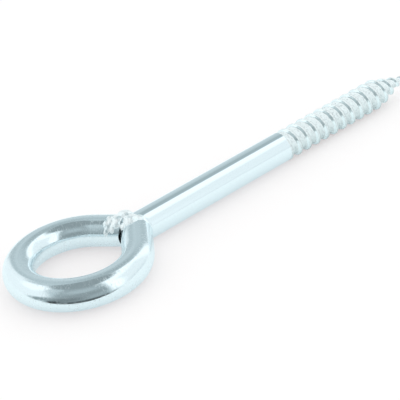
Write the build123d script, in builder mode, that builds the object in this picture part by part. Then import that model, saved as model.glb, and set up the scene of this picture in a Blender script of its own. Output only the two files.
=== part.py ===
from build123d import *
import os
from math import atan, cos, degrees, radians, sin

# Screw eye: one round bar, bent into a welded eye at one end and threaded for wood at the other.
# The origin is the centre of the eye. The eye lies in the XY plane and the shank runs along +X.
# All sizes are in millimetres.

# ---- Bar and eye ----
bar_d = 12.0                # the same round bar makes the eye and the shank
eye_d = 31.8                # inside diameter of the round part of the eye
neck_bend_r = 7.0           # centre-line radius of the bend from the shank into the eye
neck_side_angle = 38.0      # where the branch next to the neck leaves the circle, from the shank axis
free_side_angle = 35.0      # where the branch with the free end leaves the circle
joint_slit = 0.9            # width of the open slit between the free end and the neck

# ---- Shank ----
shank_len = 72.2            # plain, from the end of the neck bend to the thread
shank_edge = 0.7            # chamfer on the shank's end where the thread starts

# ---- Wood thread, right-handed ----
pitch = 5.0                 # one start
thread_under = 1.2          # how far the root lies below the bar's surface
thread_over = 0.2           # how far the crest stands above the bar's surface
ridge_w = 4.6               # width of one ridge at its root
ridge_flank_w = 1.2         # how far each flank leans inwards
ridge_flank_h = 1.0         # height of the flanks, below the blunt crest
ridge_embed = 0.4           # how deep the ridge is rooted in the core
thread_lead_in = 0.6        # from the shank's end to the middle of the first ridge on top
full_turns = 10             # whole turns of full depth
point_len = 20.0            # length of the gimlet point
point_tip_d = 1.0
point_hold = 2.0            # the crest keeps its full size this far into the point
point_turns = 3             # whole turns that run out along the gimlet point

# ---- Weld over the joint ----
# Ahead runs along the free branch towards the neck, aside away from the eye's centre.
weld_cap_under = 1.2        # radius of the large lump on the neck, less than the bar's
weld_cap_proud = 1.9        # how far it stands above the bar
weld_cap_ahead = 6.1        # its place from the joint
weld_cap_aside = -1.0
weld_bead_under = 2.4       # radius of the smaller lumps, less than the bar's
weld_hump = (1.5, 2.2, 0.8)     # ahead, aside and proud: the lump behind the joint
weld_wash = (-2.2, -1.8, 0.0)   # the lump on the free branch
weld_fill = (3.0, -2.8, -0.4)   # the lump over the slit, against the neck
weld_root_under = 2.0       # radius of the fill inside the joint, less than the bar's

# ---- Derived sizes ----
bar_r = bar_d / 2
eye_r = eye_d / 2 + bar_r
root_r = bar_r - thread_under
crest_r = bar_r + thread_over
tip_r = point_tip_d / 2
weld_cap_r = bar_r - weld_cap_under
weld_bead_r = bar_r - weld_bead_under
weld_root_r = bar_r - weld_root_under

# The neck: an arc on the near side of the shank axis, joined to the circle by a straight run.
neck_sin, neck_cos = sin(radians(neck_side_angle)), cos(radians(neck_side_angle))
neck_run = ((eye_r + neck_bend_r) * neck_sin - neck_bend_r) / neck_cos
neck_x = (eye_r + neck_bend_r) * neck_cos + neck_run * neck_sin
neck_centre = Vector(neck_x, -neck_bend_r)
shank_end = neck_x + shank_len

# The free branch runs straight on from the circle until it meets the outside of the neck bend.
free_dir = Vector(sin(radians(free_side_angle)), -cos(radians(free_side_angle)))
joint_dir = Vector(cos(radians(free_side_angle)), sin(radians(free_side_angle)))
free_start = joint_dir * eye_r
free_to_neck = (neck_centre - free_start).dot(free_dir) - neck_bend_r - bar_r
joint = free_start + free_dir * free_to_neck
free_overrun = bar_r / 4    # cut away again along the neck, so that the end follows its curve

thread_start = shank_end + thread_lead_in
point_start = thread_start + full_turns * pitch
point_end = point_start + point_len
point_angle = degrees(atan((root_r - tip_r) / point_len))

os.makedirs("parts", exist_ok=True)

# ---- The bent bar: shank, neck and the eye up to its free branch, in one sweep ----
with BuildPart() as bent_bar:
    with BuildLine(Plane.XY) as centre_line:
        Line((shank_end, 0), (neck_x, 0))
        neck_arc = CenterArc(neck_centre, neck_bend_r, 90, 90 - neck_side_angle)
        eye_arc = CenterArc((0, 0), eye_r, -neck_side_angle, neck_side_angle + free_side_angle - 360)
        Line(neck_arc @ 1, eye_arc @ 0)
    with BuildSketch(Plane.YZ.offset(shank_end)):
        Circle(bar_r)
    sweep(path=centre_line.line)
    chamfer(bent_bar.edges().filter_by(GeomType.CIRCLE).sort_by(Axis.X)[-1], shank_edge)

# ---- What the free end keeps clear of: the neck, wider all round by the slit ----
with BuildPart() as neck_clearance:
    with BuildLine(Plane.XY) as neck_line:
        Line((neck_x + eye_r, 0), (neck_x, 0))
        clear_arc = CenterArc(neck_centre, neck_bend_r, 90, 90 - neck_side_angle)
        Line(clear_arc @ 1, clear_arc @ 1 + (clear_arc % 1) * neck_run)
    with BuildSketch(Plane.YZ.offset(neck_x + eye_r)):
        Circle(bar_r + joint_slit)
    sweep(path=neck_line.line)

# ---- The free branch: straight on from the circle, its end cut to follow the neck ----
with BuildPart() as free_branch:
    with BuildSketch(Plane(origin=free_start, z_dir=free_dir)):
        Circle(bar_r)
    extrude(amount=free_to_neck + free_overrun)
    add(neck_clearance.part, mode=Mode.SUBTRACT)

# ---- The weld: a large lump on the neck, three smaller ones round the slit and a fill inside ----
with BuildPart() as weld:
    with Locations(
        joint
        + free_dir * weld_cap_ahead
        + joint_dir * weld_cap_aside
        + Vector(0, 0, bar_r + weld_cap_proud - weld_cap_r)
    ):
        Sphere(weld_cap_r)
    with Locations(
        [
            joint + free_dir * ahead + joint_dir * aside + Vector(0, 0, bar_r + proud - weld_bead_r)
            for ahead, aside, proud in (weld_hump, weld_wash, weld_fill)
        ]
    ):
        Sphere(weld_bead_r)
    with Locations(joint + Vector(0, 0, weld_root_r - bar_r)):
        Sphere(weld_root_r)

# ---- The thread: ridges swept along a helix, then along a cone, trimmed to the crest line ----
with BuildLine() as straight_helix:
    Helix(pitch, full_turns * pitch, root_r, center=(thread_start, 0, 0), direction=(1, 0, 0))
with BuildLine() as point_helix:
    Helix(
        pitch,
        point_turns * pitch,
        root_r,
        center=(point_start, 0, 0),
        direction=(1, 0, 0),
        cone_angle=-point_angle,
    )

with BuildPart() as thread_ridge:
    for helix in (straight_helix.line, point_helix.line):
        # Seen in a plane through the axis, a ridge is a blunt roof on two steep flanks.
        with BuildSketch(Plane(origin=helix @ 0, x_dir=(1, 0, 0), z_dir=(0, -1, 0))):
            with BuildLine():
                Polyline(
                    (ridge_w / 2, -ridge_embed),
                    (-ridge_w / 2, -ridge_embed),
                    (ridge_flank_w - ridge_w / 2, ridge_flank_h),
                    (0, crest_r - root_r),
                    (ridge_w / 2 - ridge_flank_w, ridge_flank_h),
                    close=True,
                )
            make_face()
        sweep(path=helix, is_frenet=True)
    with BuildSketch(Plane.XY) as crest_line:
        with BuildLine():
            Polyline(
                (shank_end - pitch, 0),
                (shank_end - pitch, root_r),
                (shank_end - shank_edge, root_r),
                (thread_start + pitch / 2, crest_r),
                (point_start + point_hold, crest_r),
                (point_end, tip_r),
                (point_end, 0),
                close=True,
            )
        make_face()
    revolve(axis=Axis.X, mode=Mode.INTERSECT)

# ---- The thread's core, with its gimlet point ----
with BuildPart() as thread_core:
    with BuildSketch(Plane.XY):
        with BuildLine():
            Polyline(
                (shank_end - pitch, 0),
                (shank_end - pitch, root_r),
                (point_start, root_r),
                (point_end, tip_r),
                (point_end, 0),
                close=True,
            )
        make_face()
    revolve(axis=Axis.X)

# ---- All of it is one piece of steel ----
with BuildPart() as screw_eye:
    add(bent_bar.part)
    add(free_branch.part)
    add(weld.part)
    add(thread_core.part)
    add(thread_ridge.part)

screw_eye.part.label = "screw_eye"
export_step(screw_eye.part, "parts/screw_eye.step")
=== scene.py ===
"""Dresses the screw eye: a bright zinc-plated bar, bent into a welded eye, with a coarse wood thread.

The finer bar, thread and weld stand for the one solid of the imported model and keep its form. They are
drawn in metres in that model's frame: the origin is the centre of the eye, the eye lies in the XY plane
and the shank runs along +X.
"""

import logging
import math
from dataclasses import dataclass, replace
from enum import Enum

import bpy
from mathutils import Matrix, Vector

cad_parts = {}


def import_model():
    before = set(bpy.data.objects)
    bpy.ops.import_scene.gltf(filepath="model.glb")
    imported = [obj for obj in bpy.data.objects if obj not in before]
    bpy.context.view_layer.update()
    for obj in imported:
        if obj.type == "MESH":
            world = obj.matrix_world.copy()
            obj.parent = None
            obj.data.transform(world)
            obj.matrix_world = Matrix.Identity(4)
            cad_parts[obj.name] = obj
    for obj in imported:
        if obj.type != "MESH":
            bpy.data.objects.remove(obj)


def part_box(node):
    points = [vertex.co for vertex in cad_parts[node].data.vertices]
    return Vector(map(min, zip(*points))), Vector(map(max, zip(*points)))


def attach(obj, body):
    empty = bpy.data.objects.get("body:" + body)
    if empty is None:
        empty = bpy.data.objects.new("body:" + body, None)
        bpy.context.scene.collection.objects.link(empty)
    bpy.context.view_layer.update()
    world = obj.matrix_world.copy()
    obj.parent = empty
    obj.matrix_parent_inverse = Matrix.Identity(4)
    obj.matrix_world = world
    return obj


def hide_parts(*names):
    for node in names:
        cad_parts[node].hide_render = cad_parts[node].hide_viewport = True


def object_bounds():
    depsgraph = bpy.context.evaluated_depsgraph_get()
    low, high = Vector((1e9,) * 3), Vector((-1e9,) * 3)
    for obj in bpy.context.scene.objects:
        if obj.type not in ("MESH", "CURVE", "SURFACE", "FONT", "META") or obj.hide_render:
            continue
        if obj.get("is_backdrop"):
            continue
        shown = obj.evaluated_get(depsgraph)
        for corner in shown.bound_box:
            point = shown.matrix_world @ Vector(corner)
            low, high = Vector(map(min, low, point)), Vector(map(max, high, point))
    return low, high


LOG = logging.getLogger("screw_eye")
MM = 0.001
NODE = "screw_eye"
BODY = "root"
DOUBLED = 1e-7  # points closer than this, in metres, are one point
SHARP = 35.0  # edges that turn by more than this, in degrees, look sharp
WHITE = (1.0, 1.0, 1.0)


# ---------------------------------------------------------------------------------------------
# Selecting and shaping meshes
# ---------------------------------------------------------------------------------------------
class Pick(Enum):
    """The kind of mesh element that a tool works on."""

    VERT = "VERT"
    FACE = "FACE"


def clear_selection() -> None:
    """Leaves edit mode and deselects every object."""
    if bpy.context.object and bpy.context.object.mode != "OBJECT":
        bpy.ops.object.mode_set(mode="OBJECT")
    bpy.ops.object.select_all(action="DESELECT")


def take(*pieces: bpy.types.Object) -> bpy.types.Object:
    """Selects these pieces alone and makes the first one active.

    Args:
        pieces: the objects to select.

    Returns:
        The active object.
    """
    clear_selection()
    for piece in pieces:
        piece.select_set(True)
    bpy.context.view_layer.objects.active = pieces[0]
    return pieces[0]


def edit(kind: Pick) -> None:
    """Enters edit mode on the active object with one kind of element to pick."""
    bpy.ops.object.mode_set(mode="EDIT")
    bpy.ops.mesh.select_mode(type=kind.value)


def done() -> None:
    """Returns to object mode."""
    bpy.ops.object.mode_set(mode="OBJECT")


def apply_modifiers(piece: bpy.types.Object) -> None:
    """Applies every modifier of a piece, in order.

    Args:
        piece: the object with the modifiers.
    """
    take(piece)
    for name in [modifier.name for modifier in piece.modifiers]:
        bpy.ops.object.modifier_apply(modifier=name)


def settle(piece: bpy.types.Object, name: str) -> bpy.types.Object:
    """Puts the piece's place into its mesh and gives it its name.

    Args:
        piece: the object to settle.
        name: its name in the scene.

    Returns:
        The same object.
    """
    take(piece)
    bpy.ops.object.transform_apply(location=True, rotation=True, scale=True)
    piece.name = piece.data.name = name
    return piece


def merge_and_turn_out(piece: bpy.types.Object, reach: float = DOUBLED) -> None:
    """Merges doubled points and points every face outwards.

    Args:
        piece: the object to mend.
        reach: points closer than this are merged.
    """
    take(piece)
    edit(Pick.VERT)
    bpy.ops.mesh.select_all(action="SELECT")
    bpy.ops.mesh.remove_doubles(threshold=reach)
    bpy.ops.mesh.normals_make_consistent(inside=False)
    done()


def cut(piece: bpy.types.Object, point: Vector, normal: Vector, keep_below: bool) -> None:
    """Cuts a closed piece with a plane, drops one side and closes the cut.

    Args:
        piece: the object to cut.
        point: a point on the plane.
        normal: the plane's normal.
        keep_below: True keeps the side that the normal points away from.
    """
    take(piece)
    edit(Pick.FACE)
    bpy.ops.mesh.select_all(action="SELECT")
    bpy.ops.mesh.bisect(
        plane_co=point,
        plane_no=normal,
        use_fill=True,
        clear_outer=keep_below,
        clear_inner=not keep_below,
        threshold=DOUBLED,
    )
    done()


def make_uneven(
    piece: bpy.types.Object, name: str, depth: float, size: float, mid_level: float = 0.5
) -> None:
    """Adds a modifier that pushes the surface in and out in soft lumps.

    Args:
        piece: the object to make uneven.
        name: the name of the lumps' texture.
        depth: how far the highest lump stands from the deepest hollow.
        size: how wide a lump is.
        mid_level: the texture's value that leaves the surface where it is. At 1 it only sinks.
    """
    clouds = bpy.data.textures.new(name, "CLOUDS")
    clouds.noise_scale = size
    clouds.noise_depth = 2
    uneven = piece.modifiers.new("uneven", "DISPLACE")
    uneven.texture = clouds
    uneven.texture_coords = "GLOBAL"
    uneven.strength = depth
    uneven.mid_level = mid_level


def smooth(piece: bpy.types.Object, angle: float) -> None:
    """Shades a piece smooth, with edges sharper than the angle in degrees kept."""
    take(piece)
    bpy.ops.object.shade_smooth_by_angle(angle=math.radians(angle))


# ---------------------------------------------------------------------------------------------
# Sizes
# ---------------------------------------------------------------------------------------------
@dataclass(frozen=True)
class Sizes:
    """The driving sizes of the screw eye, in metres and degrees.

    The angles lie between the shank's axis and the places where the neck and the free branch leave the
    eye's circle. The lead-in runs from the shank's end to the middle of the first ridge on top, and is
    less than nothing because the thread begins inside the shank. The tip keeps its share of the
    thread's full size.
    """

    bar_r: float
    eye_r: float
    crest_r: float
    point_end: float
    neck_bend_r: float = 7.0 * MM
    neck_angle: float = 38.0
    free_angle: float = 35.0
    slit: float = 0.9 * MM
    shank_len: float = 72.2 * MM
    shank_edge: float = 0.7 * MM
    pitch: float = 5.0 * MM
    thread_depth: float = 1.4 * MM
    lead_in: float = -2.3 * MM
    full_turns: int = 11
    point_len: float = 20.0 * MM
    tip_share: float = 0.09

    @classmethod
    def from_frame(cls, thread_over: float = 0.2 * MM) -> "Sizes":
        """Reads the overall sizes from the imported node.

        Args:
            thread_over: how far the thread's crest stands above the bar's surface.

        Returns:
            The sizes of this screw eye.
        """
        low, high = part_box(NODE)
        crest_r = -low.z
        bar_r = crest_r - thread_over
        eye_r = max(high.y, -low.y, -low.x) - bar_r
        return cls(bar_r=bar_r, eye_r=eye_r, crest_r=crest_r, point_end=high.x)

    @property
    def neck_turn(self) -> float:
        """The neck's angle in radians."""
        return math.radians(self.neck_angle)

    @property
    def free_turn(self) -> float:
        """The free branch's angle in radians."""
        return math.radians(self.free_angle)

    @property
    def neck_run(self) -> float:
        """Length of the straight run between the neck bend and the eye's circle."""
        reach = (self.eye_r + self.neck_bend_r) * math.sin(self.neck_turn) - self.neck_bend_r
        return reach / math.cos(self.neck_turn)

    @property
    def neck_x(self) -> float:
        """Where the shank ends and the neck bend begins."""
        reach = (self.eye_r + self.neck_bend_r) * math.cos(self.neck_turn)
        return reach + self.neck_run * math.sin(self.neck_turn)

    @property
    def neck_centre(self) -> Vector:
        """Centre of the neck bend."""
        return Vector((self.neck_x, -self.neck_bend_r, 0.0))

    @property
    def run_dir(self) -> Vector:
        """Direction of the straight run from the neck bend to the eye's circle."""
        return Vector((-math.sin(self.neck_turn), -math.cos(self.neck_turn), 0.0))

    @property
    def shank_end(self) -> float:
        """Where the plain shank ends."""
        return self.neck_x + self.shank_len

    @property
    def thread_start(self) -> float:
        """Where the first ridge has its middle, on top."""
        return self.shank_end + self.lead_in

    @property
    def point_start(self) -> float:
        """Where the gimlet point starts."""
        return self.point_end - self.point_len

    @property
    def free_dir(self) -> Vector:
        """Direction in which the free branch runs towards the neck."""
        return Vector((math.sin(self.free_turn), -math.cos(self.free_turn), 0.0))

    @property
    def joint_dir(self) -> Vector:
        """Direction from the eye's centre to the start of the free branch."""
        return Vector((math.cos(self.free_turn), math.sin(self.free_turn), 0.0))

    @property
    def free_len(self) -> float:
        """Length of the free branch, up to the outside of the neck bend."""
        start = self.joint_dir * self.eye_r
        return (self.neck_centre - start).dot(self.free_dir) - self.neck_bend_r - self.bar_r

    @property
    def joint(self) -> Vector:
        """Where the free branch meets the neck, on the centre line."""
        return self.joint_dir * self.eye_r + self.free_dir * self.free_len


# ---------------------------------------------------------------------------------------------
# Node wiring
# ---------------------------------------------------------------------------------------------
class Wiring:
    """Adds nodes to a tree and links them."""

    # Where a Mix node has its factor, its two colours and the mixed colour.
    MIX_FACTOR = 0
    MIX_COLORS = (6, 7)
    MIX_RESULT = 2

    def __init__(self, tree: bpy.types.NodeTree) -> None:
        """Works on one node tree."""
        self.tree = tree

    def add(self, kind: str) -> bpy.types.Node:
        """Adds a node of that kind."""
        return self.tree.nodes.new(kind)

    def join(self, source: bpy.types.NodeSocket, target: bpy.types.NodeSocket) -> None:
        """Links one socket to another."""
        self.tree.links.new(source, target)

    def feed(self, target: bpy.types.NodeSocket, value: object) -> None:
        """Gives a socket a link or a constant.

        Args:
            target: the input socket.
            value: a socket to link from, or a number to set.
        """
        if isinstance(value, bpy.types.NodeSocket):
            self.join(value, target)
        else:
            target.default_value = value

    def place(self, kind: str = "Object") -> bpy.types.NodeSocket:
        """The coordinates of each point, by default the object's own."""
        return self.add("ShaderNodeTexCoord").outputs[kind]

    def split(self, vector: bpy.types.NodeSocket) -> tuple[bpy.types.NodeSocket, ...]:
        """Splits a vector into x, y and z.

        Args:
            vector: the vector's socket.

        Returns:
            The three sockets.
        """
        node = self.add("ShaderNodeSeparateXYZ")
        self.join(vector, node.inputs[0])
        return tuple(node.outputs)

    def math(self, operation: str, *values: object) -> bpy.types.NodeSocket:
        """Adds a Math node.

        Args:
            operation: the node's operation.
            values: sockets or numbers, one for each input.

        Returns:
            The result's socket.
        """
        node = self.add("ShaderNodeMath")
        node.operation = operation
        for slot, value in enumerate(values):
            self.feed(node.inputs[slot], value)
        return node.outputs[0]

    def toward(self, x: object, y: object, bearing: float) -> bpy.types.NodeSocket:
        """How far a place or a direction lies towards a bearing.

        Args:
            x: its part along +X.
            y: its part along +Y.
            bearing: the bearing in degrees, anticlockwise from +X.

        Returns:
            The distance's socket.
        """
        turn = math.radians(bearing)
        return self.math(
            "ADD", self.math("MULTIPLY", x, math.cos(turn)), self.math("MULTIPLY", y, math.sin(turn))
        )

    def ramp(self, value: object, low: float, high: float) -> bpy.types.NodeSocket:
        """A smooth step between two values.

        Args:
            value: a socket or a number.
            low: the value at which the step is 0.
            high: the value at which it is 1.

        Returns:
            The step's socket.
        """
        node = self.add("ShaderNodeMapRange")
        node.interpolation_type = "SMOOTHSTEP"
        self.feed(node.inputs["Value"], value)
        node.inputs["From Min"].default_value = low
        node.inputs["From Max"].default_value = high
        return node.outputs["Result"]

    def blend(self, factor: object, low: object, high: object) -> bpy.types.NodeSocket:
        """A plain mix of two values.

        Args:
            factor: 0 for the low value, 1 for the high one.
            low: the first value.
            high: the second value.

        Returns:
            The mixed value's socket.
        """
        node = self.add("ShaderNodeMix")
        node.data_type = "FLOAT"
        self.feed(node.inputs["Factor"], factor)
        self.feed(node.inputs["A"], low)
        self.feed(node.inputs["B"], high)
        return node.outputs["Result"]

    def tone(
        self, factor: object, low: object, high: object, mode: str = "MIX"
    ) -> bpy.types.NodeSocket:
        """A mix of two colours, each a socket or red, green and blue.

        Args:
            factor: 0 for the low colour alone, 1 for the whole mix.
            low: the first colour.
            high: the second colour.
            mode: the way in which the second colour is laid over the first.

        Returns:
            The mixed colour's socket.
        """
        node = self.add("ShaderNodeMix")
        node.data_type = "RGBA"
        node.blend_type = mode
        self.feed(node.inputs[self.MIX_FACTOR], factor)
        for slot, color in zip(self.MIX_COLORS, (low, high)):
            self.feed(node.inputs[slot], (*color, 1.0) if isinstance(color, tuple) else color)
        return node.outputs[self.MIX_RESULT]

    def noise(self, place: object, scale: object, detail: float = 2.0) -> bpy.types.NodeSocket:
        """A noise pattern, from 0 to 1.

        Args:
            place: the coordinates' socket.
            scale: the pattern's scale, a socket or a number.
            detail: how many finer layers it has.

        Returns:
            The pattern's socket.
        """
        node = self.add("ShaderNodeTexNoise")
        node.inputs["Detail"].default_value = detail
        self.feed(node.inputs["Vector"], place)
        self.feed(node.inputs["Scale"], scale)
        return node.outputs["Fac"]


# ---------------------------------------------------------------------------------------------
# Finishes
# ---------------------------------------------------------------------------------------------
DULL_ZINC = (0.72, 0.76, 0.80)  # the duller tone of the plating's grain
DULL_SHARE = 0.16  # how much of that tone the strongest grain takes on


class Socket(Enum):
    """What a socket of a node group carries."""

    NUMBER = "NodeSocketFloat"
    COLOR = "NodeSocketColor"


def group_with(name: str, inputs: dict[str, Socket], outputs: dict[str, Socket]) -> bpy.types.NodeTree:
    """Makes an empty node group.

    Args:
        name: the group's name.
        inputs: its inputs by name, with what they carry.
        outputs: its outputs by name, with what they carry.

    Returns:
        The new group.
    """
    group = bpy.data.node_groups.new(name, "ShaderNodeTree")
    for way, sockets in (("INPUT", inputs), ("OUTPUT", outputs)):
        for label, kind in sockets.items():
            group.interface.new_socket(label, in_out=way, socket_type=kind.value)
    return group


def plating_group() -> bpy.types.NodeTree:
    """The plating's grain, ripple and tone, shared by every finish of the screw eye.

    Returns:
        The node group, built once.
    """
    found = bpy.data.node_groups.get("zinc_plating")
    if found:
        return found
    group = group_with(
        "zinc_plating",
        {
            "Tint": Socket.COLOR,
            "Roughness": Socket.NUMBER,
            "Roughness Spread": Socket.NUMBER,
            "Grain Depth": Socket.NUMBER,
            "Grain Scale": Socket.NUMBER,
            "Ripple Depth": Socket.NUMBER,
            "Ripple Scale": Socket.NUMBER,
        },
        {"Color": Socket.COLOR, "Roughness": Socket.NUMBER, "Height": Socket.NUMBER},
    )
    pen = Wiring(group)
    enter, leave = pen.add("NodeGroupInput"), pen.add("NodeGroupOutput")
    place = pen.place()
    grain = pen.noise(place, enter.outputs["Grain Scale"], 2.0)
    ripple = pen.noise(place, enter.outputs["Ripple Scale"], 1.0)
    height = pen.math(
        "ADD",
        pen.math("MULTIPLY", grain, enter.outputs["Grain Depth"]),
        pen.math("MULTIPLY", ripple, enter.outputs["Ripple Depth"]),
    )
    sway = pen.math("MULTIPLY", pen.math("SUBTRACT", grain, 0.5), enter.outputs["Roughness Spread"])
    dull = pen.math("MULTIPLY", grain, DULL_SHARE)
    pen.join(pen.tone(dull, enter.outputs["Tint"], DULL_ZINC, "MULTIPLY"), leave.inputs["Color"])
    pen.join(pen.math("ADD", enter.outputs["Roughness"], sway), leave.inputs["Roughness"])
    pen.join(height, leave.inputs["Height"])
    return group


def ridge_group() -> bpy.types.NodeTree:
    """How far a place on the thread lies from the ridge's middle: 0 on it, -1 and 1 in the grooves.

    Returns:
        The node group, built once.
    """
    found = bpy.data.node_groups.get("helical_ridge")
    if found:
        return found
    group = group_with(
        "helical_ridge",
        {"Pitch": Socket.NUMBER, "Start": Socket.NUMBER},
        {"Off Middle": Socket.NUMBER},
    )
    pen = Wiring(group)
    enter, leave = pen.add("NodeGroupInput"), pen.add("NodeGroupOutput")
    x, y, z = pen.split(pen.place())
    along = pen.math("DIVIDE", pen.math("SUBTRACT", x, enter.outputs["Start"]), enter.outputs["Pitch"])
    turned = pen.math("DIVIDE", pen.math("ARCTAN2", z, y), 2 * math.pi)
    # The start lies on top, a quarter of a turn on from +Y, where the angle is 0. Half a pitch more
    # puts the ridge's middle in the middle of the count.
    phase = pen.math("FRACT", pen.math("ADD", pen.math("SUBTRACT", along, turned), 0.25 + 0.5))
    off = pen.math("MULTIPLY", pen.math("SUBTRACT", phase, 0.5), 2.0)
    pen.join(off, leave.inputs["Off Middle"])
    return group


@dataclass(frozen=True)
class ZincFinish:
    """Bright, slightly blue zinc plating on steel.

    The tint is the metal's colour. Grain is the depth of the fine grain, and ripple that of the wide,
    shallow waves that the bar keeps from drawing and bending.
    """

    name: str
    tint: tuple[float, float, float] = (0.88, 0.95, 0.97)
    roughness: float = 0.10
    roughness_spread: float = 0.06
    grain: float = 0.004 * MM
    grain_scale: float = 1400.0
    ripple: float = 0.010 * MM
    ripple_scale: float = 260.0

    def material(self) -> bpy.types.Material:
        """Builds the node material.

        Returns:
            The material, ready to assign.
        """
        mat = bpy.data.materials.new(self.name)
        mat.use_nodes = True
        pen = Wiring(mat.node_tree)
        shader = mat.node_tree.nodes["Principled BSDF"]
        skin = pen.add("ShaderNodeGroup")
        skin.node_tree = plating_group()
        dials = {
            "Tint": (*self.tint, 1.0),
            "Roughness": self.roughness,
            "Roughness Spread": self.roughness_spread,
            "Grain Depth": self.grain,
            "Grain Scale": self.grain_scale,
            "Ripple Depth": self.ripple,
            "Ripple Scale": self.ripple_scale,
        }
        for label, value in dials.items():
            skin.inputs[label].default_value = value
        color, roughness, height, metal = self.wear(pen, *skin.outputs)
        pen.join(color, shader.inputs["Base Color"])
        pen.join(roughness, shader.inputs["Roughness"])
        pen.feed(shader.inputs["Metallic"], metal)
        bump = pen.add("ShaderNodeBump")
        bump.inputs["Strength"].default_value = 1.0
        bump.inputs["Distance"].default_value = 1.0
        pen.join(height, bump.inputs["Height"])
        pen.join(bump.outputs["Normal"], shader.inputs["Normal"])
        return mat

    def wear(self, pen: Wiring, color: object, roughness: object, height: object) -> tuple:
        """Leaves the plain plating as it is, all bright metal."""
        return color, roughness, height, 1.0


@dataclass(frozen=True)
class FrostedFinish(ZincFinish):
    """Plating on weld metal: bright lumps, frosted white in patches.

    Frost is how far a patch turns from bright metal to white, and its edge runs from the first to the
    second of two values of the pattern.
    """

    frost: float = 0.7
    patch_scale: float = 420.0
    patch_edge: tuple[float, float] = (0.30, 0.55)

    def wear(self, pen: Wiring, color: object, roughness: object, height: object) -> tuple:
        """Frosts the plating in patches.

        Args:
            pen: the material's wiring.
            color: the plating's colour.
            roughness: its roughness.
            height: its fine relief.

        Returns:
            The colour, roughness and relief as they were, and how metallic it is.
        """
        patch = pen.noise(pen.place(), self.patch_scale, 1.0)
        frosted = pen.math("MULTIPLY", pen.ramp(patch, *self.patch_edge), self.frost)
        return color, roughness, height, pen.math("SUBTRACT", 1.0, frosted)


@dataclass(frozen=True)
class BentFinish(ZincFinish):
    """Plating on the bar: glossy on the shank and mottled by the bending round the eye.

    The mottling lies on the eye's circle of radius bend_r and fades out towards bend_end. Its spots are
    drawn out across the bar, where the pattern runs slower.
    """

    bend_r: float = 21.9 * MM
    bend_end: float = 31.0 * MM
    bend_fade: float = 4.0 * MM
    mottle: float = 0.20
    mottle_depth: float = 0.005 * MM
    spot_scale: float = 1900.0
    spot_across: float = 0.45
    spot_edge: tuple[float, float] = (0.40, 0.72)

    def wear(self, pen: Wiring, color: object, roughness: object, height: object) -> tuple:
        """Dulls the bent part in fine spots, drawn out across the bar.

        Args:
            pen: the material's wiring.
            color: the plating's colour.
            roughness: its roughness.
            height: its fine relief.

        Returns:
            The colour as it was, the mottled roughness and relief, and how metallic it is.
        """
        x, y, z = pen.split(pen.place())
        from_axis = pen.math("SQRT", pen.math("ADD", pen.math("MULTIPLY", x, x), pen.math("MULTIPLY", y, y)))
        rolled_out = pen.add("ShaderNodeCombineXYZ")
        pen.feed(rolled_out.inputs[0], pen.math("MULTIPLY", pen.math("ARCTAN2", y, x), self.bend_r))
        pen.feed(rolled_out.inputs[1], pen.math("MULTIPLY", from_axis, self.spot_across))
        pen.feed(rolled_out.inputs[2], pen.math("MULTIPLY", z, self.spot_across))
        spots = pen.noise(rolled_out.outputs[0], self.spot_scale, 1.0)
        bent = pen.ramp(x, self.bend_end, self.bend_end - self.bend_fade)
        dull = pen.math("MULTIPLY", pen.ramp(spots, *self.spot_edge), pen.math("MULTIPLY", bent, self.mottle))
        relief = pen.math("MULTIPLY", spots, pen.math("MULTIPLY", bent, self.mottle_depth))
        return color, pen.math("ADD", roughness, dull), pen.math("ADD", height, relief), 1.0


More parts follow.
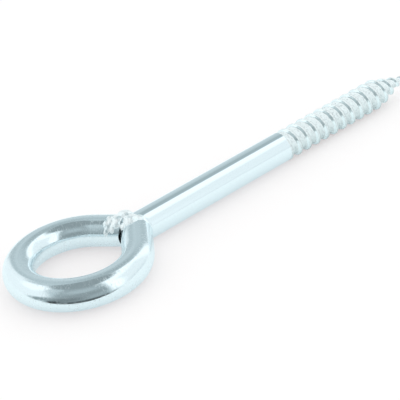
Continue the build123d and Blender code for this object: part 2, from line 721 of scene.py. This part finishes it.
@dataclass(frozen=True)
class ThreadFinish(ZincFinish):
    """Plating on a rolled thread: frosted white all over but for a bright band on one flank.

    Places across a ridge are counted from -1 to 1, as in the ridge group. The frosted plating is rough,
    with pits and with an uneven seam where the rolled metal met.
    """

    pitch: float = 5.0 * MM
    start: float = 0.0
    bright_band: tuple[float, float] = (-0.24, 0.08)
    band_edge: tuple[float, float] = (0.06, 0.04)
    band_grain: float = 0.25
    frost_roughness: float = 0.42
    frost: float = 0.90
    band_frost: float = 0.18
    sway_scale: float = 900.0
    seam_sway: float = 0.4
    band_sway: float = 0.5
    seam_side: float = 0.45
    seam_edge: tuple[float, float] = (0.10, 0.02)
    seam_depth: float = 0.10 * MM
    pit_scale: float = 1700.0
    pit_edge: tuple[float, float] = (0.58, 0.66)
    pit_depth: float = 0.06 * MM
    mark_tint: tuple[float, float, float] = (0.50, 0.56, 0.58)
    mark_share: float = 0.5

    def in_band(self, pen: Wiring, side: object) -> bpy.types.NodeSocket:
        """Wires up how much of a place lies in the bright band.

        Args:
            pen: the material's wiring.
            side: the place across the ridge.

        Returns:
            1 in the band, 0 outside it and a soft step between.
        """
        low, high = self.bright_band
        out, into = self.band_edge
        return pen.math(
            "MULTIPLY", pen.ramp(side, low - out, low + into), pen.ramp(side, high + out, high - into)
        )

    def wear(self, pen: Wiring, color: object, roughness: object, height: object) -> tuple:
        """Frosts the ridge outside its bright band and cuts its seam and pits.

        Args:
            pen: the material's wiring.
            color: the plating's colour.
            roughness: its roughness.
            height: its fine relief.

        Returns:
            The worn colour, roughness and relief, and how metallic it is.
        """
        place = pen.place()
        ridge = pen.add("ShaderNodeGroup")
        ridge.node_tree = ridge_group()
        ridge.inputs["Pitch"].default_value = self.pitch
        ridge.inputs["Start"].default_value = self.start
        side = ridge.outputs["Off Middle"]
        waves = pen.math("SUBTRACT", pen.noise(place, self.sway_scale), 0.5)
        sway = pen.math("MULTIPLY", waves, self.seam_sway)
        swayed = pen.math("ADD", side, pen.math("MULTIPLY", sway, self.band_sway))
        frosted = pen.math("SUBTRACT", 1.0, self.in_band(pen, swayed))
        off_seam = pen.math("ADD", pen.math("SUBTRACT", side, self.seam_side), sway)
        seam = pen.ramp(pen.math("ABSOLUTE", off_seam), *self.seam_edge)
        pits = pen.math("MULTIPLY", frosted, pen.ramp(pen.noise(place, self.pit_scale, 1.0), *self.pit_edge))
        marks = pen.math("MAXIMUM", seam, pits)
        worn = pen.tone(pen.math("MULTIPLY", marks, self.mark_share), color, self.mark_tint)
        rough = pen.blend(frosted, roughness, self.frost_roughness)
        sunk = pen.math(
            "ADD", pen.math("MULTIPLY", seam, self.seam_depth), pen.math("MULTIPLY", pits, self.pit_depth)
        )
        fade = pen.math("ADD", self.band_grain, pen.math("MULTIPLY", frosted, 1.0 - self.band_grain))
        relief = pen.math("SUBTRACT", pen.math("MULTIPLY", height, fade), sunk)
        metal = pen.blend(frosted, 1.0 - self.band_frost, 1.0 - self.frost)
        return worn, rough, relief, metal


BRIGHT_BAR = BentFinish("zinc_bright_bar", roughness=0.09)
# Painted shade: the free end's cut face lies deep in the slit against the neck, and is coloured near-black to
# stand for the shade that falls there.
CUT_END_SHADE = ZincFinish("cut_end_painted_shade", tint=(0.10, 0.12, 0.13), roughness=0.55)
ROLLED_THREAD = ThreadFinish(
    "zinc_rolled_thread",
    tint=(0.90, 0.99, 1.0),
    roughness=0.20,
    roughness_spread=0.10,
    grain=0.06 * MM,
    grain_scale=1500.0,
    ripple=0.05 * MM,
    ripple_scale=600.0,
)
WELD_SKIN = FrostedFinish(
    "zinc_weld_skin",
    tint=(0.92, 0.99, 1.0),
    roughness=0.34,
    roughness_spread=0.16,
    grain=0.02 * MM,
    ripple=0.03 * MM,
    ripple_scale=400.0,
)


def plate(piece: bpy.types.Object, finish: ZincFinish, angle: float = SHARP) -> bpy.types.Object:
    """Gives a piece its finish, shades it smooth and ties it to the frame.

    Args:
        piece: the finished mesh.
        finish: the plating that it shows.
        angle: edges sharper than this, in degrees, stay sharp.

    Returns:
        The same object.
    """
    if not piece.data.materials:
        piece.data.materials.append(finish.material())
    smooth(piece, angle)
    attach(piece, BODY)
    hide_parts(NODE)
    return piece


# ---------------------------------------------------------------------------------------------
# The bar
# ---------------------------------------------------------------------------------------------
@dataclass
class BentBar:
    """The round bar: the plain shank, the neck bend and the eye with its free branch.

    The free branch starts a short lap inside the end of the eye's circle, and runs over into the neck
    before it is cut. Its short steps keep the smooth shading of the rounded rim from spreading along it.
    """

    sizes: Sizes
    around: int = 96
    neck_steps: int = 20
    eye_steps: int = 200
    free_steps: int = 16
    free_lap: float = 0.5 * MM
    free_overrun: float = 1.5 * MM
    rim: float = 0.25 * MM
    rim_steps: int = 3

    @staticmethod
    def extrude(move: Vector) -> None:
        """Extrudes the selected section and moves it."""
        bpy.ops.mesh.extrude_region_move(TRANSFORM_OT_translate={"value": move})

    @staticmethod
    def spin(centre: Vector, degrees: float, steps: int) -> None:
        """Spins the selected section about an upright axis.

        Args:
            centre: a point on the axis.
            degrees: how far it turns, anticlockwise from above.
            steps: how many sections it leaves behind.
        """
        bpy.ops.mesh.spin(
            steps=steps, angle=-math.radians(degrees), center=centre, axis=(0, 0, 1), dupli=False
        )

    def section(self, radius: float, x: float) -> bpy.types.Object:
        """Adds the bar's round section across the shank and leaves it selected in edit mode.

        Args:
            radius: the section's radius.
            x: where it stands on the shank's axis.

        Returns:
            The section's object.
        """
        clear_selection()
        bpy.ops.mesh.primitive_circle_add(
            vertices=self.around,
            radius=radius,
            fill_type="NGON",
            location=(x, 0, 0),
            rotation=(0, math.pi / 2, 0),
        )
        ring = take(bpy.context.object)
        bpy.ops.object.transform_apply(location=True, rotation=True, scale=True)
        edit(Pick.FACE)
        bpy.ops.mesh.select_all(action="SELECT")
        return ring

    def bend_neck(self) -> None:
        """Spins the selected section round the neck bend."""
        self.spin(self.sizes.neck_centre, 90.0 - self.sizes.neck_angle, self.neck_steps)

    def clearance(self) -> bpy.types.Object:
        """Draws what the free end keeps clear of: the neck, wider all round by the slit.

        Returns:
            The closed tube.
        """
        s = self.sizes
        tube = self.section(s.bar_r + s.slit, s.neck_x + s.eye_r)
        self.extrude(Vector((-s.eye_r, 0, 0)))
        self.bend_neck()
        self.extrude(s.run_dir * s.neck_run)
        done()
        merge_and_turn_out(tube)
        return tube

    def loop(self) -> bpy.types.Object:
        """Draws the shank, the neck bend and the round part of the eye.

        Returns:
            The closed bar, up to its free branch.
        """
        s = self.sizes
        small = (s.bar_r - s.shank_edge) / s.bar_r
        bar = self.section(s.bar_r, s.shank_end)
        bpy.ops.transform.resize(value=(1, small, small), center_override=(s.shank_end, 0, 0))
        self.extrude(Vector((-s.shank_edge, 0, 0)))
        bpy.ops.transform.resize(value=(1, 1 / small, 1 / small), center_override=(s.shank_end, 0, 0))
        self.extrude(Vector((s.neck_x - s.shank_end + s.shank_edge, 0, 0)))
        self.bend_neck()
        self.extrude(s.run_dir * s.neck_run)
        self.spin(Vector((0, 0, 0)), s.neck_angle + s.free_angle - 360.0, self.eye_steps)
        done()
        merge_and_turn_out(bar)
        return bar

    def free_end(self, skin: bpy.types.Material) -> bpy.types.Object:
        """Draws the free branch and cuts its end to follow the neck, a slit's width away.

        Args:
            skin: the bar's material. The cut end gets its own, a near-black painted shade for the slit.

        Returns:
            The free branch.
        """
        s = self.sizes
        step = (self.free_lap + s.free_len + self.free_overrun) / self.free_steps
        branch = self.section(s.bar_r, 0.0)
        bpy.ops.transform.rotate(
            value=math.radians(90.0 - s.free_angle), orient_axis="Z", center_override=(0, 0, 0)
        )
        bpy.ops.transform.translate(value=s.joint_dir * s.eye_r - s.free_dir * self.free_lap)
        for _ in range(self.free_steps):
            self.extrude(s.free_dir * step)
        done()
        merge_and_turn_out(branch)
        branch.data.materials.append(skin)
        keep_off = self.clearance()
        # The tube's near-black painted shade passes to the cut face through the trim below.
        keep_off.data.materials.append(CUT_END_SHADE.material())
        trim = branch.modifiers.new("trim", "BOOLEAN")
        trim.operation = "DIFFERENCE"
        trim.solver = "EXACT"
        trim.material_mode = "TRANSFER"
        trim.object = keep_off
        rim = branch.modifiers.new("rim", "BEVEL")
        rim.width = self.rim
        rim.segments = self.rim_steps
        rim.limit_method = "ANGLE"
        rim.angle_limit = math.radians(SHARP)
        apply_modifiers(branch)
        bpy.data.objects.remove(keep_off)
        return branch

    def build(self) -> bpy.types.Object:
        """Draws the loop and the free end and joins them.

        Returns:
            The finished bar.
        """
        skin = BRIGHT_BAR.material()
        bar, branch = self.loop(), self.free_end(skin)
        bar.data.materials.append(skin)
        take(bar, branch)
        bpy.ops.object.join()
        return plate(settle(bar, "bent_bar"), BRIGHT_BAR)


# ---------------------------------------------------------------------------------------------
# The thread
# ---------------------------------------------------------------------------------------------
@dataclass
class WoodThread:
    """The coarse right-handed wood thread with its gimlet point.

    It starts inside the shank's end, where its crest sinks below the bar's surface over the run-in. On
    the point, the core narrows faster than the crest, so that the ridge stays deep up to the tip.
    """

    sizes: Sizes
    steps: int = 96
    hidden_turns: int = 1
    run_in: float = 3.0 * MM
    run_in_under: float = 0.1 * MM
    point_hold: float = 2.0 * MM
    point_root_share: float = 0.5
    doubled: float = 0.001 * MM
    uneven: float = 0.16 * MM
    uneven_size: float = 1.3 * MM
    sharp: float = 60.0
    # One ridge, from groove to groove: distance along the axis and height above the root.
    ridge: tuple[tuple[float, float], ...] = (
        (-2.50 * MM, 0.00 * MM),
        (-2.10 * MM, 0.08 * MM),
        (-1.60 * MM, 0.27 * MM),
        (-1.00 * MM, 0.47 * MM),
        (-0.55 * MM, 0.63 * MM),
        (-0.30 * MM, 0.84 * MM),
        (-0.05 * MM, 1.06 * MM),
        (0.20 * MM, 1.26 * MM),
        (0.45 * MM, 1.36 * MM),
        (0.75 * MM, 1.40 * MM),
        (1.10 * MM, 1.33 * MM),
        (1.40 * MM, 1.15 * MM),
        (1.70 * MM, 0.85 * MM),
        (1.95 * MM, 0.50 * MM),
        (2.15 * MM, 0.20 * MM),
        (2.30 * MM, 0.05 * MM),
        (2.50 * MM, 0.00 * MM),
    )

    def outline(self) -> bpy.types.Object:
        """Draws one pitch of the thread's outline, on top, by extruding a point.

        Returns:
            The outline, with the group "groove" that weighs each point by its depth.
        """
        s = self.sizes
        root_r = s.crest_r - s.thread_depth
        points = [Vector((x, 0, root_r + h)) for x, h in self.ridge]
        start = Vector((s.thread_start - self.hidden_turns * s.pitch, 0, 0))
        clear_selection()
        bpy.ops.mesh.primitive_plane_add(size=MM, location=start + points[0])
        line = take(bpy.context.object)
        bpy.ops.object.transform_apply(location=True)
        edit(Pick.VERT)
        bpy.ops.mesh.select_all(action="SELECT")
        bpy.ops.mesh.merge(type="CENTER")
        for here, there in zip(points, points[1:]):
            bpy.ops.mesh.extrude_region_move(TRANSFORM_OT_translate={"value": there - here})
        done()
        groove = line.vertex_groups.new(name="groove")
        for vert in line.data.vertices:
            groove.add([vert.index], (s.crest_r - vert.co.z) / s.thread_depth, "REPLACE")
        return line

    def taper(
        self, thread: bpy.types.Object, whole_at: float, to: float, share: float, group: str = ""
    ) -> None:
        """Narrows the thread evenly from full size at one place to a share of it at another.

        Args:
            thread: the thread.
            whole_at: where it keeps its full size.
            to: where it has the smaller size, and keeps it beyond.
            share: the smaller size's share of the full one.
            group: the vertex group that is narrowed, or nothing for all of it.
        """
        xs = [v.co.x for v in thread.data.vertices]
        low, span = min(xs), max(xs) - min(xs)
        clear_selection()
        bpy.ops.object.empty_add(location=(whole_at, 0, 0))
        pin = bpy.context.object
        narrow = thread.modifiers.new("narrow", "SIMPLE_DEFORM")
        narrow.deform_method = "TAPER"
        narrow.deform_axis = "X"
        narrow.origin = pin
        narrow.vertex_group = group
        narrow.limits = (
            (min(whole_at, to) - low) / span,
            (max(whole_at, to) - low) / span,
        )
        narrow.factor = (share - 1.0) * (1.0 if to > whole_at else -1.0)
        apply_modifiers(thread)
        bpy.data.objects.remove(pin)

    def build(self) -> bpy.types.Object:
        """Screws the outline along the axis, runs it in and out and trims its ends.

        Returns:
            The finished thread.
        """
        s = self.sizes
        thread = self.outline()
        turns = self.hidden_turns + s.full_turns + math.ceil(s.point_len / s.pitch) + 1
        screw = thread.modifiers.new("screw", "SCREW")
        screw.axis = "X"
        screw.angle = 2 * math.pi
        screw.screw_offset = s.pitch
        screw.iterations = turns
        screw.steps = screw.render_steps = self.steps
        screw.use_smooth_shade = True
        apply_modifiers(thread)
        merge_and_turn_out(thread, self.doubled)
        make_uneven(thread, "thread_lumps", self.uneven, self.uneven_size, mid_level=1.0)
        apply_modifiers(thread)
        sunk_share = (s.bar_r - self.run_in_under) / s.crest_r
        self.taper(thread, s.shank_end, s.shank_end - self.run_in, sunk_share)
        self.taper(thread, s.point_start, s.point_end, self.point_root_share, "groove")
        self.taper(thread, s.point_start + self.point_hold, s.point_end, s.tip_share)
        hidden_end = s.shank_end - s.pitch / 3
        cut(thread, Vector((hidden_end, 0, 0)), Vector((1, 0, 0)), keep_below=False)
        cut(thread, Vector((s.point_end, 0, 0)), Vector((1, 0, 0)), keep_below=True)
        finish = replace(ROLLED_THREAD, pitch=s.pitch, start=s.thread_start)
        return plate(settle(thread, "wood_thread"), finish, self.sharp)


# ---------------------------------------------------------------------------------------------
# The weld
# ---------------------------------------------------------------------------------------------
@dataclass(frozen=True)
class Lump:
    """One lump of weld metal, placed from the joint.

    Ahead runs along the free branch towards the neck, aside runs away from the eye's centre and up
    from the bar's centre line. The half sizes lie along the same three directions.
    """

    ahead: float
    aside: float
    up: float
    half: tuple[float, float, float]


@dataclass
class Weld:
    """The lumpy weld that closes the eye: large lumps over the neck and a wash of beads.

    The beads lie on the free branch, each given by its ahead, aside and up, and all have the same half
    sizes. Lumps and beads are fused into one skin, which flows together and gets a ripple.
    """

    sizes: Sizes
    ball_detail: int = 5
    lumps: tuple[Lump, ...] = (
        # The cap over the neck, the hump behind the joint and the fill against the neck.
        Lump(4.9 * MM, -1.6 * MM, 3.2 * MM, (3.7 * MM, 4.2 * MM, 4.3 * MM)),
        Lump(1.6 * MM, 1.6 * MM, 4.0 * MM, (3.8 * MM, 3.0 * MM, 3.5 * MM)),
        Lump(2.6 * MM, -3.4 * MM, 3.3 * MM, (1.8 * MM, 2.1 * MM, 2.1 * MM)),
        # The cap's far end and the root inside the joint.
        Lump(7.4 * MM, -0.2 * MM, 2.7 * MM, (2.4 * MM, 3.2 * MM, 3.8 * MM)),
        Lump(0.0, 2.6 * MM, -0.6 * MM, (3.0 * MM, 2.4 * MM, 3.0 * MM)),
        # Two flat ones that bridge the top of the slit.
        Lump(-0.7 * MM, -0.9 * MM, 4.6 * MM, (2.6 * MM, 2.6 * MM, 1.9 * MM)),
        Lump(-0.6 * MM, -2.9 * MM, 3.9 * MM, (2.2 * MM, 1.9 * MM, 1.7 * MM)),
    )
    beads: tuple[tuple[float, float, float], ...] = (
        (-2.5 * MM, 0.2 * MM, 3.3 * MM),
        (-4.0 * MM, -0.5 * MM, 3.2 * MM),
        (-1.9 * MM, -1.4 * MM, 2.9 * MM),
        (-3.2 * MM, -1.5 * MM, 2.9 * MM),
        (-4.7 * MM, -1.9 * MM, 2.7 * MM),
        (-3.7 * MM, -2.6 * MM, 2.0 * MM),
        (-2.1 * MM, -2.7 * MM, 1.9 * MM),
        (-4.5 * MM, -3.0 * MM, 1.2 * MM),
    )
    bead_half: tuple[float, float, float] = (2.2 * MM, 3.0 * MM, 3.0 * MM)
    fuse_grid: float = 0.22 * MM
    flow_rounds: int = 5
    ripple: float = 0.30 * MM
    ripple_size: float = 1.1 * MM
    sharp: float = 60.0

    def ball(self, lump: Lump) -> bpy.types.Object:
        """Draws one lump as a closed ball, stretched to its half sizes.

        Args:
            lump: its place and half sizes.

        Returns:
            The ball.
        """
        s = self.sizes
        flat = s.joint + s.free_dir * lump.ahead + s.joint_dir * lump.aside
        clear_selection()
        bpy.ops.mesh.primitive_ico_sphere_add(
            subdivisions=self.ball_detail,
            radius=1.0,
            location=flat + Vector((0, 0, lump.up)),
            rotation=(0, 0, math.radians(s.free_angle - 90.0)),
            scale=lump.half,
        )
        return bpy.context.object

    def build(self) -> bpy.types.Object:
        """Draws the lumps and beads, fuses them and makes them uneven.

        Returns:
            The finished weld.
        """
        wash = [Lump(*place, self.bead_half) for place in self.beads]
        weld = take(*[self.ball(lump) for lump in (*self.lumps, *wash)])
        bpy.ops.object.join()
        settle(weld, "weld")
        fuse = weld.modifiers.new("fuse", "REMESH")
        fuse.mode = "VOXEL"
        fuse.voxel_size = self.fuse_grid
        flow = weld.modifiers.new("flow", "SMOOTH")
        flow.iterations = self.flow_rounds
        make_uneven(weld, "weld_ripple", self.ripple, self.ripple_size)
        apply_modifiers(weld)
        return plate(weld, WELD_SKIN, self.sharp)


# ---------------------------------------------------------------------------------------------
# The studio
# ---------------------------------------------------------------------------------------------
class Shape(Enum):
    """The outline of a part of the studio."""

    BOX = "box"
    OVAL = "oval"


@dataclass(frozen=True)
class Panel:
    """A part of the studio as the object sees it: place, size and edge in degrees, and brightness."""

    bearing: float
    height: float
    half_width: float
    half_height: float
    level: float
    edge: float = 4.0
    shape: Shape = Shape.OVAL
    tilt: float = 0.0

    def mask(self, pen: Wiring, x: object, y: object, elevation: object) -> bpy.types.NodeSocket:
        """Wires up how much of a direction lies inside the panel.

        Args:
            pen: the world's wiring.
            x: the direction's part along +X.
            y: the direction's part along +Y.
            elevation: its height above the horizon, in degrees.

        Returns:
            1 inside, 0 outside and a soft step between.
        """
        lean = math.radians(self.tilt)
        along, aside = pen.toward(x, y, self.bearing), pen.toward(x, y, self.bearing + 90.0)
        across = pen.math("DEGREES", pen.math("ARCTAN2", aside, along))
        above = pen.math("SUBTRACT", elevation, self.height)
        u = pen.math(
            "ADD",
            pen.math("MULTIPLY", across, math.cos(lean) / self.half_width),
            pen.math("MULTIPLY", above, math.sin(lean) / self.half_width),
        )
        v = pen.math(
            "SUBTRACT",
            pen.math("MULTIPLY", above, math.cos(lean) / self.half_height),
            pen.math("MULTIPLY", across, math.sin(lean) / self.half_height),
        )
        if self.shape is Shape.OVAL:
            reach = pen.math("SQRT", pen.math("ADD", pen.math("MULTIPLY", u, u), pen.math("MULTIPLY", v, v)))
            soft = self.edge / min(self.half_width, self.half_height)
            return pen.ramp(reach, 1.0 + soft, 1.0 - soft)
        sides = [
            pen.ramp(pen.math("ABSOLUTE", way), 1.0 + self.edge / half, 1.0 - self.edge / half)
            for way, half in ((u, self.half_width), (v, self.half_height))
        ]
        return pen.math("MULTIPLY", *sides)


@dataclass
class Studio:
    """Two large soft boxes left and right in a grey room, a white table and the camera.

    The room and its panels show in reflections alone, and all else is lit by an open white sky. The
    table glows for the camera and in reflections. Beyond its edge, it has no reflection.
    """

    open_level: float = 1.06
    room_level: float = 0.66
    # Each panel is laid over those before it.
    panels: tuple[Panel, ...] = (
        # The far wall.
        Panel(38, 52, 26, 14, 0.50, 8.0),
        Panel(27, 24, 8, 20, 0.60, 5.0),
        Panel(73, 25, 7, 26, 0.60, 4.0),
        Panel(57, 8, 5, 20, 0.74, 3.0),
        # The left soft box and its light on the table.
        Panel(117, -22, 37, 67, 1.02, 5.0, Shape.BOX),
        Panel(133, 12, 51, 44, 1.04, 6.0),
        Panel(130, 50, 28, 16, 1.2, 5.0),
        # The dark side of the room, behind the camera.
        Panel(232, 0, 42, 90, 0.44, 7.0, Shape.BOX),
        Panel(232, 45, 26, 11, 0.54, 6.0),
        Panel(235, 18, 32, 13, 0.35, 7.0),
        Panel(207, -3, 31, 13, 0.26, 6.0),
        Panel(172, 0, 24, 10, 0.38, 5.0, Shape.OVAL, 24.0),
        Panel(190, -17, 11, 9, 0.07, 4.0),
        Panel(250, -26, 50, 9, 0.12, 5.0, Shape.BOX),
        # The right soft box.
        Panel(326, 27, 51, 39, 1.0, 7.0, Shape.BOX),
        Panel(288, 26, 12, 36, 1.3, 6.0),
        Panel(330, 57, 42, 9, 1.25, 6.0, Shape.BOX),
        Panel(6, 28, 10, 34, 1.25, 5.0),
        Panel(330, 0, 22, 10, 0.88, 7.0),
        # The ceiling.
        Panel(0, 95, 200, 30, 0.36, 4.0, Shape.BOX),
    )
    room_tint: tuple[float, float, float] = (0.79, 0.947, 1.0)
    box_tint: tuple[float, float, float] = (0.875, 0.947, 0.974)
    tint_levels: tuple[float, float] = (0.5, 1.1)
    paint: tuple[float, float, float] = (0.53, 0.60, 0.605)
    glow_reflected: tuple[float, float, float] = (0.37, 0.385, 0.40)
    glow_seen: tuple[float, float, float] = (0.46, 0.38, 0.375)
    floor_reach: float = 2.0
    table_edge_bearing: float = 233.0
    table_edge: float = 37.0 * MM
    aim: tuple[float, float, float] = (42.0237 * MM, -22.6232 * MM, 12.9382 * MM)
    bearing: float = -126.9644
    height: float = 29.0734
    roll: float = -9.6262
    distance: float = 653.354 * MM
    lens: float = 162.285
    sensor: float = 36.0
    clip: tuple[float, float] = (10.0 * MM, 20.0)

    def light(self) -> None:
        """Builds the world: the panels in reflections, open white light and a plain white background."""
        world = bpy.data.worlds.new("soft_studio")
        bpy.context.scene.world = world
        world.use_nodes = True
        tree = world.node_tree
        tree.nodes.clear()
        pen = Wiring(tree)
        x, y, z = pen.split(pen.place("Generated"))
        elevation = pen.math("DEGREES", pen.math("ARCSINE", z))
        level: object = self.room_level
        for panel in self.panels:
            level = pen.blend(panel.mask(pen, x, y, elevation), level, panel.level)
        path = pen.add("ShaderNodeLightPath")
        mirrored = path.outputs["Is Glossy Ray"]
        plain = pen.blend(path.outputs["Is Camera Ray"], self.open_level, 1.0)
        cool = pen.tone(pen.ramp(level, *self.tint_levels), self.room_tint, self.box_tint)
        background = pen.add("ShaderNodeBackground")
        pen.join(pen.blend(mirrored, plain, level), background.inputs["Strength"])
        pen.join(pen.tone(mirrored, WHITE, cool), background.inputs["Color"])
        pen.join(background.outputs[0], pen.add("ShaderNodeOutputWorld").inputs[0])

    def table_skin(self) -> bpy.types.Material:
        """Makes the table's paint, with its glow and its edge.

        Returns:
            The material.
        """
        mat = bpy.data.materials.new("white_table")
        mat.use_nodes = True
        tree = mat.node_tree
        tree.nodes.clear()
        pen = Wiring(tree)
        path = pen.add("ShaderNodeLightPath")
        seen, mirrored = path.outputs["Is Camera Ray"], path.outputs["Is Glossy Ray"]
        paint = pen.add("ShaderNodeBsdfDiffuse")
        paint.inputs["Color"].default_value = (*self.paint, 1.0)
        glow = pen.add("ShaderNodeEmission")
        pen.join(pen.tone(seen, self.glow_reflected, self.glow_seen), glow.inputs["Color"])
        pen.join(pen.math("MAXIMUM", seen, mirrored), glow.inputs["Strength"])
        both = pen.add("ShaderNodeAddShader")
        pen.join(paint.outputs[0], both.inputs[0])
        pen.join(glow.outputs[0], both.inputs[1])
        x, y, _ = pen.split(pen.place())
        past = pen.math("GREATER_THAN", pen.toward(x, y, self.table_edge_bearing), self.table_edge)
        mix = pen.add("ShaderNodeMixShader")
        pen.join(pen.math("MULTIPLY", past, mirrored), mix.inputs[0])
        pen.join(both.outputs[0], mix.inputs[1])
        pen.join(pen.add("ShaderNodeBsdfTransparent").outputs[0], mix.inputs[2])
        pen.join(mix.outputs[0], pen.add("ShaderNodeOutputMaterial").inputs[0])
        return mat

    def table(self, top: float) -> None:
        """Adds the white table top under the object.

        Args:
            top: the height of its surface.
        """
        clear_selection()
        bpy.ops.mesh.primitive_plane_add(size=2 * self.floor_reach, location=(0, 0, top))
        board = settle(bpy.context.object, "table_top")
        board.data.materials.append(self.table_skin())
        board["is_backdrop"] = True

    def camera(self) -> None:
        """Adds the camera, low in front of the eye and slightly rolled."""
        turn, rise, roll = (math.radians(a) for a in (self.bearing, self.height, self.roll))
        back = Vector(
            (math.cos(rise) * math.cos(turn), math.cos(rise) * math.sin(turn), math.sin(rise))
        )
        level = Vector((-math.sin(turn), math.cos(turn), 0.0))
        upright = back.cross(level)
        right = math.cos(roll) * level + math.sin(roll) * upright
        up = math.cos(roll) * upright - math.sin(roll) * level
        lens = bpy.data.cameras.new("view_camera")
        lens.lens = self.lens
        lens.sensor_width = self.sensor
        lens.clip_start, lens.clip_end = self.clip
        holder = bpy.data.objects.new("view_camera", lens)
        bpy.context.scene.collection.objects.link(holder)
        place = Matrix((right, up, back)).transposed().to_4x4()
        place.translation = Vector(self.aim) + back * self.distance
        holder.matrix_world = place
        bpy.context.scene.camera = holder

    def set_up(self, top: float) -> None:
        """Adds the light, the table and the camera, and sets the plain view transform.

        Args:
            top: the height of the table's surface.
        """
        self.light()
        self.table(top)
        self.camera()
        bpy.context.scene.view_settings.view_transform = "Standard"


def main() -> None:
    """Builds the pieces in order and sets the stage."""
    logging.basicConfig(level=logging.INFO, format="%(name)s: %(message)s")
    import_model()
    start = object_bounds()
    sizes = Sizes.from_frame()
    for maker in (BentBar(sizes), WoodThread(sizes), Weld(sizes)):
        piece = maker.build()
        LOG.info("%s: %d faces", piece.name, len(piece.data.polygons))
    Studio().set_up(start[0].z)
    LOG.info("studio set up")


if __name__ == "__main__":
    main()
